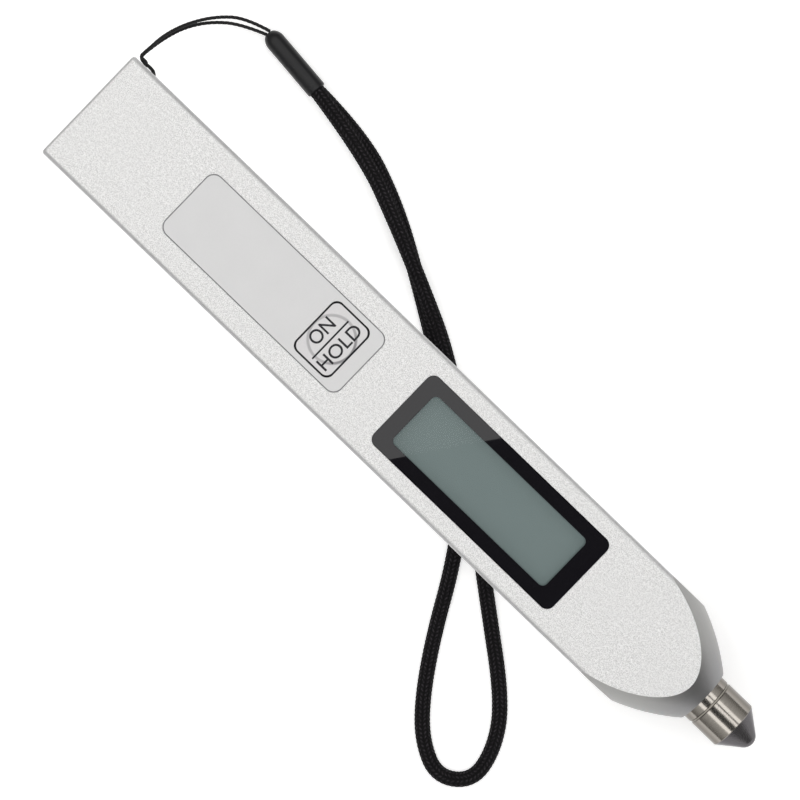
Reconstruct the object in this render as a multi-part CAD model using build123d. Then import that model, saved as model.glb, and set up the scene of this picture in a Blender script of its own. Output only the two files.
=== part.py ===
"""Pen-type moisture meter: aluminium case, contact probe, display, one key and a wrist strap.

Millimetres. The pieces are drawn from the rear end of the case (X = 0, probe toward +X), about
the case's centre line (Y = 0, Z = 0, display toward +Z). export() moves the origin to the middle.
"""
from build123d import *
from math import asin, atan2, cos, degrees, hypot, pi, radians, sin, sqrt, tan
import os

# Case
CASE_LENGTH = 139.8
CASE_WIDTH = 21.8
CASE_HEIGHT = 15.0
WALL = 1.5
EDGE_ROUNDING = 0.8
END_ROUNDING = 0.5
NOSE_ARC_RADIUS = 36.0
NOSE_END_RADIUS = 5.1
NOSE_WALL = 1.4

# Probe
PROBE_RADIUS = 4.45
COLLAR_LENGTH = 1.65
TIP_LENGTH = 9.68
TIP_HALF_ANGLE = 37.5
TIP_BALL_RADIUS = 2.0
STUD_RADIUS = 1.5
STUD_LENGTH = 21.2
RING_THICKNESS = 0.25
PROBE_CHAMFER = 0.13

# Display window
LENS_START = 70.85
LENS_LENGTH = 40.5
LENS_WIDTH = 15.3
LENS_THICKNESS = 0.8
LENS_CORNER = 1.5
MASK_THICKNESS = 0.1
VIEW_LENGTH = 34.5
VIEW_WIDTH = 10.65
VIEW_SHIFT = -0.2
VIEW_CORNER = 1.0
GLASS_THICKNESS = 1.7
GLASS_BORDER = 1.9
HOLDER_WALL = 1.6

# Label overlay and key
LABEL_START = 22.3
LABEL_LENGTH = 39.7
LABEL_WIDTH = 13.0
LABEL_THICKNESS = 0.25
LABEL_CORNER = 1.8
KEY_CENTRE = 55.27
KEY_LENGTH = 8.0
KEY_WIDTH = 10.6
KEY_CORNER = 1.4
KEY_GAP = 0.15
KEY_TRAVEL = 0.35
KEY_FLANGE = 0.8
KEY_FLANGE_THICKNESS = 0.7
PLUNGER_RADIUS = 2.0
DOME_RADIUS = 2.4
DOME_HEIGHT = 0.8
DOME_SHEET = 0.12
SWITCH_SIDE = 6.4
SWITCH_HEIGHT = 1.1

# Battery end
CELL_DIAMETER = 11.6
CELL_HEIGHT = 5.4
CELL_GAP = 0.8
CELL_PLAY = 0.15
CAP_PLATE = 1.6
CAP_SKIRT = 5.0
CAP_WALL = 1.2
NAIL_GROOVE_DEPTH = 0.6
NAIL_GROOVE_WIDTH = 8.0
TRAY_WALL = 0.8
TRAY_FLOOR = 0.9
TRAY_SIDE = 4.0
LINK_THICKNESS = 0.2
CONTACT_THICKNESS = 0.25
CONTACT_WIDTH = 2.2
CONTACT_OFFSET = 2.6
CONTACT_RISE = 1.1
BLOCK_LENGTH = 2.4

# Chassis and board
BOARD_THICKNESS = 1.6
BOARD_TOP = 0.0
CHASSIS_FLOOR = 1.2
CHASSIS_WALL = 1.2
BOSS_RADIUS = 2.0
BOARD_SCREW_RADIUS = 0.8
CASE_SCREW_RADIUS = 1.0
CASE_SCREW_HEAD = 1.9
CASE_SCREW_LENGTH = 4.6
LEAD_RADIUS = 0.45

# Lanyard
STRING_DIAMETER = 0.6
SLOT_WIDTH = 1.2
SLOT_HEIGHT = 2.9
SLOT_REAR = 1.8
SLOT_FRONT = 4.1
SLOT_LEVEL = 2.0
SLEEVE_RADIUS = 1.7
SLEEVE_LENGTH = 12.6
BRAID_WIDTH = 2.4
BRAID_THICKNESS = 1.5

# Clearances
SLIDE_GAP = 0.1
SEAT_GAP = 0.05
THREAD_GAP = 0.03
FREE_GAP = 0.3
CONTACT_GAP = 0.1

# Worked-out sizes
LENGTH = CASE_LENGTH + COLLAR_LENGTH + RING_THICKNESS + TIP_LENGTH
HALF_WIDTH = CASE_WIDTH / 2
TOP = CASE_HEIGHT / 2
INNER_Y = HALF_WIDTH - WALL
INNER_Z = TOP - WALL
NOSE_START_RADIUS = hypot(HALF_WIDTH, TOP) + 0.05
LENS_CENTRE = LENS_START + LENS_LENGTH / 2
VIEW_CENTRE = LENS_CENTRE + VIEW_SHIFT
CELL_SPACING = CELL_DIAMETER + CELL_GAP
FIRST_CELL = CAP_PLATE + TRAY_WALL + CELL_PLAY + CELL_DIAMETER / 2
CELL_CENTRES = [FIRST_CELL, FIRST_CELL + CELL_SPACING]
TRAY_END = CELL_CENTRES[1] + CELL_DIAMETER / 2 + CELL_PLAY + TRAY_WALL
BLOCK_START = TRAY_END + 2 * FREE_GAP
CHASSIS_START = BLOCK_START + BLOCK_LENGTH


def nose_x(radius):
    """Where along the case the nose has this radius."""
    drop = NOSE_START_RADIUS - radius
    end_drop = NOSE_START_RADIUS - NOSE_END_RADIUS
    start = CASE_LENGTH - sqrt(NOSE_ARC_RADIUS**2 - (NOSE_ARC_RADIUS - end_drop) ** 2)
    return start + sqrt(NOSE_ARC_RADIUS**2 - (NOSE_ARC_RADIUS - drop) ** 2)


CAVITY_END = nose_x(hypot(INNER_Y, INNER_Z) + NOSE_WALL)
CHASSIS_END = CAVITY_END - 5.0
BOARD_START = CHASSIS_START + 1.0
BOARD_END = CHASSIS_END - 1.0
BOARD_HALF = INNER_Y - 0.5
BOARD_BOTTOM = BOARD_TOP - BOARD_THICKNESS


FROM_BASE = (Align.CENTER, Align.CENTER, Align.MIN)


def block(x0, x1, y0, y1, z0, z1):
    """A box between two corners."""
    return Pos((x0 + x1) / 2, (y0 + y1) / 2, (z0 + z1) / 2) * Box(x1 - x0, y1 - y0, z1 - z0)


def bar(x0, x1, half_y, z0, z1):
    """A box that lies evenly about the centre line."""
    return block(x0, x1, -half_y, half_y, z0, z1)


def plate(centre, length, width, z0, z1, corner):
    """A plate lying flat with rounded corners."""
    outline = Pos(centre, 0, z0) * RectangleRounded(length, width, corner)
    return extrude(outline, z1 - z0)


def rod(radius, x0, x1, y=0.0, z=0.0):
    """A round bar along the case."""
    return Pos(x0, y, z) * Rot(0, 90, 0) * Cylinder(radius, x1 - x0, align=FROM_BASE)


def post(radius, x, y, z0, z1):
    """A round bar across the case, standing up."""
    return Pos(x, y, z0) * Cylinder(radius, z1 - z0, align=FROM_BASE)


def sleeve_of(outer, inner, x0, x1):
    """A tube along the case."""
    return rod(outer, x0, x1) - rod(inner, x0 - 1, x1 + 1)


def export(name, shape):
    """Write one piece, with the origin in the middle of the meter."""
    solid = Pos(-LENGTH / 2, 0, 0) * shape
    solid.label = name
    export_step(solid, f"parts/{name}.step")


# ---------------------------------------------------------------- case
COUNTERBORE_RADIUS = 5.6
COUNTERBORE_END = CASE_LENGTH - 8.8
BORE_RADIUS = PROBE_RADIUS + SEAT_GAP
RECESS_FLOOR = TOP - LENS_THICKNESS - MASK_THICKNESS
CASE_SCREWS = [CHASSIS_START + 8.0, CHASSIS_END - 9.0]
LABEL_CENTRE = LABEL_START + LABEL_LENGTH / 2
KEY_HOLE = (KEY_LENGTH + 2 * KEY_GAP, KEY_WIDTH + 2 * KEY_GAP)


def nose_of_revolution():
    """Everything inside the turned surface: a wide cylinder that curves in to the nose."""
    start = nose_x(NOSE_START_RADIUS)
    sweep_angle = asin((CASE_LENGTH - start) / NOSE_ARC_RADIUS)
    centre_y = NOSE_START_RADIUS - NOSE_ARC_RADIUS
    middle = (
        start + NOSE_ARC_RADIUS * sin(sweep_angle / 2),
        centre_y + NOSE_ARC_RADIUS * cos(sweep_angle / 2),
    )
    outline = Line((-1, 0), (-1, NOSE_START_RADIUS))
    outline += Line((-1, NOSE_START_RADIUS), (start, NOSE_START_RADIUS))
    outline += ThreePointArc((start, NOSE_START_RADIUS), middle, (CASE_LENGTH, NOSE_END_RADIUS))
    outline += Line((CASE_LENGTH, NOSE_END_RADIUS), (CASE_LENGTH, 0))
    outline += Line((CASE_LENGTH, 0), (-1, 0))
    return revolve(make_face(outline), Axis.X, 360)


def screw_hole(x):
    """A countersunk hole in the back of the case."""
    head = Pos(x, 0, -TOP + 0.5) * Cone(CASE_SCREW_HEAD + SEAT_GAP, CASE_SCREW_RADIUS, 1.0)
    return post(CASE_SCREW_RADIUS + SEAT_GAP, x, 0, -TOP - 1, -INNER_Z + 1) + head


def case_tube():
    """The drawn tube with its machined nose."""
    tube = bar(0, CASE_LENGTH, HALF_WIDTH, -TOP, TOP)
    tube = fillet(tube.edges().filter_by(Axis.X), EDGE_ROUNDING)
    tube = fillet(tube.faces().sort_by(Axis.X)[0].edges(), END_ROUNDING)
    tube = tube & nose_of_revolution()
    tube -= bar(-1, CAVITY_END, INNER_Y, -INNER_Z, INNER_Z)
    tube -= rod(COUNTERBORE_RADIUS, CAVITY_END - 1, COUNTERBORE_END)
    tube -= rod(BORE_RADIUS, COUNTERBORE_END - 1, CASE_LENGTH + 1)
    lens_seat = (LENS_LENGTH + 2 * SEAT_GAP, LENS_WIDTH + 2 * SEAT_GAP)
    tube -= plate(LENS_CENTRE, *lens_seat, RECESS_FLOOR, TOP + 1, LENS_CORNER)
    tube -= plate(VIEW_CENTRE, VIEW_LENGTH + 2, VIEW_WIDTH + 2, INNER_Z - 1, TOP, VIEW_CORNER)
    label_seat = (LABEL_LENGTH + 2 * SEAT_GAP, LABEL_WIDTH + 2 * SEAT_GAP)
    tube -= plate(LABEL_CENTRE, *label_seat, TOP - LABEL_THICKNESS, TOP + 1, LABEL_CORNER)
    tube -= plate(KEY_CENTRE, *KEY_HOLE, INNER_Z - 1, TOP + 1, KEY_CORNER)
    for x in (SLOT_REAR, SLOT_FRONT):
        outside = Plane(origin=(x, HALF_WIDTH + 1, SLOT_LEVEL), x_dir=(0, 0, 1), z_dir=(0, -1, 0))
        tube -= extrude(outside * SlotOverall(SLOT_HEIGHT, SLOT_WIDTH), WALL + 2)
    for x in CASE_SCREWS:
        tube -= screw_hole(x)
    return tube


# ---------------------------------------------------------------- battery end
CAP_HALF_Y = INNER_Y - SLIDE_GAP
CAP_HALF_Z = INNER_Z - SLIDE_GAP
TRAY_HALF = CELL_DIAMETER / 2 + CELL_PLAY + TRAY_WALL
TRAY_BOTTOM = -INNER_Z + CAP_WALL + 2 * SLIDE_GAP
CELL_BOTTOM = TRAY_BOTTOM + TRAY_FLOOR + LINK_THICKNESS
CELL_TOP = CELL_BOTTOM + CELL_HEIGHT


def rear_cap():
    """The end plate and its friction skirt, cut away where the string passes."""
    front = CAP_PLATE + CAP_SKIRT
    inner_y = CAP_HALF_Y - CAP_WALL
    inner_z = CAP_HALF_Z - CAP_WALL
    cap = bar(0, front, CAP_HALF_Y, -CAP_HALF_Z, CAP_HALF_Z)
    cap -= bar(CAP_PLATE, front + 1, inner_y, -inner_z, inner_z)
    channel_start = SLOT_REAR - SLOT_WIDTH / 2 - SLIDE_GAP
    low = SLOT_LEVEL - SLOT_HEIGHT / 2 - 0.2
    high = SLOT_LEVEL + SLOT_HEIGHT / 2 + 0.2
    cap -= block(channel_start, front + 1, inner_y - SLIDE_GAP, INNER_Y + 1, low, high)
    return cap - bar(-1, NAIL_GROOVE_DEPTH, NAIL_GROOVE_WIDTH / 2, -INNER_Z - 1, -INNER_Z + 1.4)


def battery_tray():
    """The sliding tray that carries the two cells."""
    tray = bar(CAP_PLATE, TRAY_END, TRAY_HALF, TRAY_BOTTOM, CELL_BOTTOM + TRAY_SIDE)
    floor = TRAY_BOTTOM + TRAY_FLOOR
    for x in CELL_CENTRES:
        tray -= post(CELL_DIAMETER / 2 + CELL_PLAY, x, 0, floor, TOP)
    return tray - bar(CELL_CENTRES[0], CELL_CENTRES[1], 3.0, floor, TOP)


def button_cell(x):
    """One cell: a can with a smaller raised cover on top."""
    can = post(CELL_DIAMETER / 2, x, 0, CELL_BOTTOM, CELL_TOP - 0.4)
    can += post(CELL_DIAMETER / 2 - 1.0, x, 0, CELL_TOP - 0.5, CELL_TOP)
    return fillet(can.edges().group_by(Axis.Z)[0], 0.4)


def cell_link_strip():
    """The strip under both cells that joins them in series."""
    floor = TRAY_BOTTOM + TRAY_FLOOR
    return bar(CELL_CENTRES[0] - 4, CELL_CENTRES[1] + 4, 2.0, floor, floor + LINK_THICKNESS)


def contact_block():
    """The insulating block that holds both spring contacts."""
    return bar(BLOCK_START, CHASSIS_START, 6.0, -INNER_Z + 1.5, CELL_TOP + 2.0)


def contact_spring(cell_x, y):
    """A leaf over the cells, with a dimple that touches one of them."""
    bottom = CELL_TOP + CONTACT_GAP + CONTACT_RISE
    leaf = bar(cell_x - 1.6, BLOCK_START, CONTACT_WIDTH / 2, bottom, bottom + CONTACT_THICKNESS)
    return Pos(0, y, 0) * leaf + post(0.9, cell_x, y, CELL_TOP + CONTACT_GAP, bottom + 0.1)


def battery_lead(y):
    """A wire from the contact block to its pad on the board."""
    pad = BOARD_START + 3.0
    level = BOARD_TOP + 1.6
    route = FilletPolyline((CHASSIS_START, y, level), (pad, y, level), (pad, y, BOARD_TOP), radius=0.9)
    return sweep(Plane(route @ 0, z_dir=route % 0) * Circle(LEAD_RADIUS), route)


# ---------------------------------------------------------------- chassis and board
CHASSIS_BOTTOM = -INNER_Z + FREE_GAP
CHASSIS_HALF = INNER_Y - FREE_GAP
SCREW_INSET = 2.0
BOARD_SCREWS = [
    (x, side * (BOARD_HALF - SCREW_INSET))
    for x in (BOARD_START + SCREW_INSET + 1.5, BOARD_END - SCREW_INSET)
    for side in (-1, 1)
]


def chassis():
    """The moulded tray under the board, with bosses for its screws."""
    tray = bar(CHASSIS_START, CHASSIS_END, CHASSIS_HALF, CHASSIS_BOTTOM, BOARD_BOTTOM)
    floor = CHASSIS_BOTTOM + CHASSIS_FLOOR
    inside = (CHASSIS_START + CHASSIS_WALL, CHASSIS_END - CHASSIS_WALL, CHASSIS_HALF - CHASSIS_WALL)
    tray -= bar(*inside, floor, BOARD_BOTTOM + 1)
    for x, y in BOARD_SCREWS:
        tray += post(BOSS_RADIUS, x, y, floor, BOARD_BOTTOM)
    for x in CASE_SCREWS:
        tray += post(BOSS_RADIUS + 0.4, x, 0, floor, BOARD_BOTTOM - 0.5)
    for x, y in BOARD_SCREWS:
        tray -= post(BOARD_SCREW_RADIUS + THREAD_GAP, x, y, CHASSIS_BOTTOM + 0.6, BOARD_BOTTOM + 1)
    for x in CASE_SCREWS:
        tray -= post(CASE_SCREW_RADIUS + THREAD_GAP, x, 0, CHASSIS_BOTTOM - 1, BOARD_BOTTOM - 1)
    return tray


def case_screw(x):
    """A countersunk screw through the back of the case into the chassis."""
    head = Pos(x, 0, -TOP + 0.5) * Cone(CASE_SCREW_HEAD, CASE_SCREW_RADIUS, 1.0)
    screw = head + post(CASE_SCREW_RADIUS, x, 0, -TOP, -TOP + CASE_SCREW_LENGTH)
    screw -= bar(x - 1.1, x + 1.1, 0.2, -TOP - 1, -TOP + 0.5)
    return screw - bar(x - 0.2, x + 0.2, 1.1, -TOP - 1, -TOP + 0.5)


def board_screw(x, y):
    """A pan-head screw that holds the board to the chassis."""
    screw = post(1.6, 0, 0, BOARD_TOP, BOARD_TOP + 0.9)
    screw += post(BOARD_SCREW_RADIUS, 0, 0, BOARD_BOTTOM - 2.0, BOARD_TOP + 0.1)
    screw -= bar(-1.0, 1.0, 0.2, BOARD_TOP + 0.4, BOARD_TOP + 2)
    screw -= bar(-0.2, 0.2, 1.0, BOARD_TOP + 0.4, BOARD_TOP + 2)
    return Pos(x, y, 0) * screw


def circuit_board():
    """The board, with its screw holes."""
    board = bar(BOARD_START, BOARD_END, BOARD_HALF, BOARD_BOTTOM, BOARD_TOP)
    for x, y in BOARD_SCREWS:
        board -= post(BOARD_SCREW_RADIUS + SEAT_GAP, x, y, BOARD_BOTTOM - 1, BOARD_TOP + 1)
    return board


def chip(x, length, width, height):
    """A flat component soldered under the board."""
    return bar(x - length / 2, x + length / 2, width / 2, BOARD_BOTTOM - height, BOARD_BOTTOM)


def crystal_can(x, y):
    """The processor's crystal, lying on the board's upper side."""
    return extrude(Pos(x, y, BOARD_TOP) * SlotOverall(7.0, 2.8), 2.0)


# ---------------------------------------------------------------- display
GLASS_LENGTH = VIEW_LENGTH + 2 * GLASS_BORDER
GLASS_WIDTH = VIEW_WIDTH + 2 * GLASS_BORDER
GLASS_TOP = INNER_Z - 0.9
GLASS_BOTTOM = GLASS_TOP - GLASS_THICKNESS
STRIP_WIDTH = 1.0
STRIP_CENTRE = GLASS_WIDTH / 2 - 0.7


def frame_plate(length, width, rim, z0, z1, corner):
    """A flat frame round the display."""
    outer = plate(VIEW_CENTRE, length, width, z0, z1, corner)
    return outer - plate(VIEW_CENTRE, length - 2 * rim, width - 2 * rim, z0 - 1, z1 + 1, 0.4)


def window_lens():
    """The clear window, flush with the case."""
    return plate(LENS_CENTRE, LENS_LENGTH, LENS_WIDTH, TOP - LENS_THICKNESS, TOP, LENS_CORNER)


def window_mask():
    """The black border printed on the underside of the window."""
    ink_top = RECESS_FLOOR + MASK_THICKNESS
    border = plate(LENS_CENTRE, LENS_LENGTH, LENS_WIDTH, RECESS_FLOOR, ink_top, LENS_CORNER)
    return border - plate(VIEW_CENTRE, VIEW_LENGTH, VIEW_WIDTH, RECESS_FLOOR - 1, TOP, VIEW_CORNER)


def display_glass():
    """The liquid-crystal cell: a wide lower glass and a narrower upper one."""
    split = (GLASS_TOP + GLASS_BOTTOM) / 2
    glass = plate(VIEW_CENTRE, GLASS_LENGTH, GLASS_WIDTH, GLASS_BOTTOM, split, 0.3)
    return glass + plate(VIEW_CENTRE, GLASS_LENGTH, GLASS_WIDTH - 1.6, split, GLASS_TOP, 0.3)


def display_reflector():
    """The sheet behind the glass, between the rubber connectors."""
    width = 2 * (STRIP_CENTRE - STRIP_WIDTH / 2 - FREE_GAP)
    return plate(VIEW_CENTRE, GLASS_LENGTH - 1, width, GLASS_BOTTOM - 0.3, GLASS_BOTTOM, 0.3)


def display_holder():
    """The moulded frame that stands on the board round the glass."""
    length = GLASS_LENGTH + 2 * (HOLDER_WALL + 0.2)
    width = GLASS_WIDTH + 2 * (HOLDER_WALL + 0.1)
    return frame_plate(length, width, HOLDER_WALL, BOARD_TOP, GLASS_TOP - 0.1, 0.8)


def zebra_strip(side):
    """One of the two rubber connectors between the board and the glass."""
    half = VIEW_LENGTH / 2
    strip = bar(VIEW_CENTRE - half, VIEW_CENTRE + half, STRIP_WIDTH / 2, BOARD_TOP, GLASS_BOTTOM)
    return Pos(0, side * STRIP_CENTRE, 0) * strip


def window_gasket():
    """Foam between the glass and the inside of the case."""
    return frame_plate(VIEW_LENGTH + 3.6, VIEW_WIDTH + 2.2, 1.0, GLASS_TOP, INNER_Z, 0.8)


# ---------------------------------------------------------------- label and key
FLANGE_TOP = INNER_Z - FREE_GAP
FLANGE_BOTTOM = FLANGE_TOP - KEY_FLANGE_THICKNESS
DOME_BASE = BOARD_TOP + SWITCH_HEIGHT
DOME_TOP = DOME_BASE + DOME_HEIGHT


def label_overlay():
    """The printed sheet, open round the key."""
    under = TOP - LABEL_THICKNESS
    sheet = plate(LABEL_CENTRE, LABEL_LENGTH, LABEL_WIDTH, under, TOP, LABEL_CORNER - SEAT_GAP)
    return sheet - plate(KEY_CENTRE, *KEY_HOLE, 0, TOP + 1, KEY_CORNER)


def key_pad():
    """The key's cap, with a flange that keeps it in the case."""
    cap = plate(KEY_CENTRE, KEY_LENGTH, KEY_WIDTH, FLANGE_BOTTOM, TOP, KEY_CORNER)
    size = (KEY_LENGTH + 2 * KEY_FLANGE, KEY_WIDTH + 2 * KEY_FLANGE)
    return cap + plate(KEY_CENTRE, *size, FLANGE_BOTTOM, FLANGE_TOP, KEY_CORNER)


def key_plunger():
    """The post under the key that presses the dome."""
    return post(PLUNGER_RADIUS, KEY_CENTRE, 0, DOME_TOP + SEAT_GAP, FLANGE_BOTTOM)


def tactile_dome():
    """The snap dome: a thin spherical shell."""
    ball = (DOME_RADIUS**2 + DOME_HEIGHT**2) / (2 * DOME_HEIGHT)
    centre = Pos(KEY_CENTRE, 0, DOME_TOP - ball)
    shell = centre * Sphere(ball) - centre * Sphere(ball - DOME_SHEET)
    return shell & bar(KEY_CENTRE - 4, KEY_CENTRE + 4, 4, DOME_BASE, TOP)


def switch_base():
    """The switch's moulded base with its well under the dome."""
    half = SWITCH_SIDE / 2
    base = bar(KEY_CENTRE - half, KEY_CENTRE + half, half, BOARD_TOP, DOME_BASE)
    return base - post(DOME_RADIUS - 0.5, KEY_CENTRE, 0, BOARD_TOP + 0.4, DOME_BASE + 1)


# ---------------------------------------------------------------- probe
BARREL_BACK = CAVITY_END + 0.5
BARREL_FRONT = CASE_LENGTH + COLLAR_LENGTH
FLANGE_BACK = COUNTERBORE_END - 1.6
SLEEVE_OUTER = 2.95
STUD_CLEAR = STUD_RADIUS + SEAT_GAP
GROOVE_DEPTH = 0.7
GROOVE_WIDTH = 1.0
GROOVE_CENTRE = COUNTERBORE_END + 4.0
O_RING_SECTION = 0.72
TIP_BACK = BARREL_FRONT + RING_THICKNESS
STUD_BACK = TIP_BACK - STUD_LENGTH
LUG_BACK = BARREL_BACK - 1.6


def sensor_barrel():
    """The steel barrel in the nose, with its flange, collar and seal groove."""
    barrel = rod(PROBE_RADIUS, BARREL_BACK, BARREL_FRONT)
    barrel = chamfer(barrel.edges().sort_by(Axis.X)[-1], PROBE_CHAMFER)
    barrel += rod(COUNTERBORE_RADIUS - SLIDE_GAP, FLANGE_BACK, COUNTERBORE_END)
    groove = (GROOVE_CENTRE - GROOVE_WIDTH / 2, GROOVE_CENTRE + GROOVE_WIDTH / 2)
    barrel -= sleeve_of(PROBE_RADIUS + 1, PROBE_RADIUS - GROOVE_DEPTH, *groove)
    return barrel - rod(SLEEVE_OUTER + SEAT_GAP, BARREL_BACK - 1, BARREL_FRONT + 1)


def nose_o_ring():
    """The seal between the barrel and the nose's bore."""
    centre_radius = PROBE_RADIUS - GROOVE_DEPTH + O_RING_SECTION / 2 + 0.02
    return Pos(GROOVE_CENTRE, 0, 0) * Rot(0, 90, 0) * Torus(centre_radius, O_RING_SECTION / 2)


def retaining_nut():
    """The slotted ring nut behind the barrel's flange."""
    back = FLANGE_BACK - 3.1
    radii = (COUNTERBORE_RADIUS - THREAD_GAP, PROBE_RADIUS + SEAT_GAP)
    nut = sleeve_of(*radii, back, FLANGE_BACK - SEAT_GAP)
    return nut - bar(back - 1, back + 1, 0.6, -TOP, TOP)


def insulating_sleeve():
    """The flanged sleeve that keeps the electrode's stud clear of the barrel."""
    tube = sleeve_of(SLEEVE_OUTER, STUD_CLEAR, BARREL_BACK - 0.1, BARREL_FRONT)
    return tube + sleeve_of(4.0, STUD_CLEAR, BARREL_BACK - 1.2, BARREL_BACK)


def insulating_ring():
    """The thin ring between the collar and the tip."""
    return sleeve_of(PROBE_RADIUS - RING_THICKNESS, STUD_CLEAR, BARREL_FRONT, TIP_BACK)


def probe_tip():
    """The contact electrode: cylinder, cone and ball end, with its threaded stud."""
    end = TIP_BACK + TIP_LENGTH
    angle = radians(TIP_HALF_ANGLE)
    ball_x = end - TIP_BALL_RADIUS
    touch = (ball_x + TIP_BALL_RADIUS * sin(angle), TIP_BALL_RADIUS * cos(angle))
    middle_angle = (pi / 2 - angle) / 2
    middle = (ball_x + TIP_BALL_RADIUS * cos(middle_angle), TIP_BALL_RADIUS * sin(middle_angle))
    cone_x = touch[0] - (PROBE_RADIUS - touch[1]) / tan(angle)
    stud = [(end, 0), (STUD_BACK, 0), (STUD_BACK, STUD_RADIUS), (TIP_BACK, STUD_RADIUS)]
    edge = [(TIP_BACK, PROBE_RADIUS - PROBE_CHAMFER), (TIP_BACK + PROBE_CHAMFER, PROBE_RADIUS)]
    outline = Polyline(*stud, *edge, (cone_x, PROBE_RADIUS), touch)
    outline += ThreePointArc(touch, middle, (end, 0))
    return revolve(make_face(outline), Axis.X, 360)


def terminal_lug():
    """The solder lug clamped on the stud, with its tab to one side."""
    lug = sleeve_of(3.0, STUD_CLEAR, LUG_BACK, LUG_BACK + 0.4)
    tab = block(LUG_BACK, LUG_BACK + 0.4, 2.6, 6.2, -1.2, 1.8)
    return lug + tab


def electrode_nut():
    """The hexagon nut that clamps the electrode."""
    hexagon = extrude(RegularPolygon(2.75, 6, major_radius=False), 2.4)
    nut = Pos(LUG_BACK - 2.4, 0, 0) * Rot(0, 90, 0) * hexagon
    return nut - rod(STUD_RADIUS + THREAD_GAP, LUG_BACK - 4, LUG_BACK + 1)


def probe_lead(y, end_x, level):
    """A wire from a pad at the board's front end to the probe."""
    pad = BOARD_END - 1.2
    route = FilletPolyline((pad, y, BOARD_TOP), (pad, y, level), (end_x, y, level), radius=0.45)
    return sweep(Plane(route @ 0, z_dir=route % 0) * Circle(LEAD_RADIUS), route)


# ---------------------------------------------------------------- lanyard
FLOOR = -TOP - SEAT_GAP - BRAID_THICKNESS
BRAID_LOW = FLOOR + BRAID_THICKNESS / 2
BRAID_HIGH = BRAID_LOW + BRAID_THICKNESS + 0.1
SLEEVE_LEVEL = FLOOR + SLEEVE_RADIUS
SLEEVE_REAR = (11.6, 29.25)
SLEEVE_FRONT = (24.2, 27.98)

# The strap, from the sleeve along the lower strand, round the loop and back on the upper strand.
STRAP_ROUTE = [
    (24.2, 28.0, SLEEVE_LEVEL - 0.75),
    (35.0, 27.7, BRAID_LOW),
    (46.6, 23.55, BRAID_LOW),
    (57.6, 17.35, BRAID_LOW),
    (78.6, 4.1, BRAID_LOW),
    (88.6, -3.6, BRAID_LOW),
    (95.6, -13.2, BRAID_LOW),
    (101.6, -24.2, BRAID_LOW),
    (107.4, -32.9, BRAID_LOW),
    (112.4, -38.2, BRAID_LOW),
    (118.4, -41.0, BRAID_LOW),
    (123.4, -37.3, BRAID_LOW),
    (122.1, -30.6, BRAID_LOW),
    (117.4, -24.0, BRAID_LOW),
    (104.6, -14.2, BRAID_LOW),
    (85.4, 2.4, BRAID_LOW),
    (70.9, 12.2, BRAID_LOW),
    (61.0, 16.8, BRAID_HIGH),
    (49.8, 21.4, BRAID_HIGH),
    (37.6, 25.9, BRAID_HIGH),
    (24.2, 27.9, SLEEVE_LEVEL + 0.85),
]

# The string, from the sleeve down to the slots, through them as a hitch and back.
STRING_LEVEL = SLOT_LEVEL
NEAR = 0.35
FAR = 1.0
STRING_OUT = HALF_WIDTH + 0.6
STRING_IN = INNER_Y - 0.7
HITCH = [
    (1.07, STRING_OUT, NEAR),
    (SLOT_FRONT, STRING_OUT, NEAR),
    (SLOT_FRONT, STRING_IN, NEAR),
    (SLOT_REAR, STRING_IN, FAR),
    (SLOT_REAR, STRING_OUT, FAR),
    (0.42, STRING_OUT, FAR),
]
OUTER_STRAND = [
    (11.6, 29.65, SLEEVE_LEVEL),
    (7.2, 29.4, -6.2),
    (3.6, 25.6, -3.6),
    (0.9, 20.4, -0.9),
    (0.6, 15.6, 1.7),
]
INNER_STRAND = [
    (11.6, 28.85, SLEEVE_LEVEL),
    (7.4, 27.3, -6.4),
    (3.7, 23.4, -4.2),
    (1.6, 19.0, -2.0),
    (1.05, 15.2, 0.6),
]


def tube_route(points, name):
    """Straight runs with the largest arcs that fit at each point."""
    spots = [Vector(*p) for p in points]
    radii = []
    for before, here, after in zip(spots, spots[1:], spots[2:]):
        turn = radians((here - before).get_angle(after - here))
        shorter = min((here - before).length, (after - here).length)
        radii.append(0.45 * shorter / tan(turn / 2))
    route = FilletPolyline(*spots, radius=radii)
    print(name, "length", round(route.length, 1), "radii", [round(r, 2) for r in radii])
    return route


def lanyard_string():
    """The thin string: two strands to the sleeve, hitched through the slots."""
    upper = [(x, y, STRING_LEVEL + z) for x, y, z in HITCH]
    lower = [(x, y, STRING_LEVEL - z) for x, y, z in reversed(HITCH)]
    route = tube_route(OUTER_STRAND + upper + lower + INNER_STRAND[::-1], "string")
    return sweep(Plane(route @ 0, z_dir=route % 0) * Circle(STRING_DIAMETER / 2), route)


def strap_sleeve():
    """The moulded sleeve that joins the string to the strap."""
    heading = degrees(atan2(SLEEVE_FRONT[1] - SLEEVE_REAR[1], SLEEVE_FRONT[0] - SLEEVE_REAR[0]))
    body = Cylinder(SLEEVE_RADIUS, SLEEVE_LENGTH, align=FROM_BASE)
    body = fillet(body.edges().sort_by(Axis.Z)[0], SLEEVE_RADIUS - 0.85)
    return Pos(*SLEEVE_REAR, SLEEVE_LEVEL) * Rot(0, 0, heading) * Rot(0, 90, 0) * body


def wrist_cord():
    """The flattened braid: one closed loop with both ends in the sleeve."""
    route = tube_route(STRAP_ROUTE, "strap")
    start = Plane(origin=route @ 0, z_dir=route % 0, x_dir=Vector(0, 0, 1).cross(route % 0))
    return sweep(start * Ellipse(BRAID_WIDTH / 2, BRAID_THICKNESS / 2), route)


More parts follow.
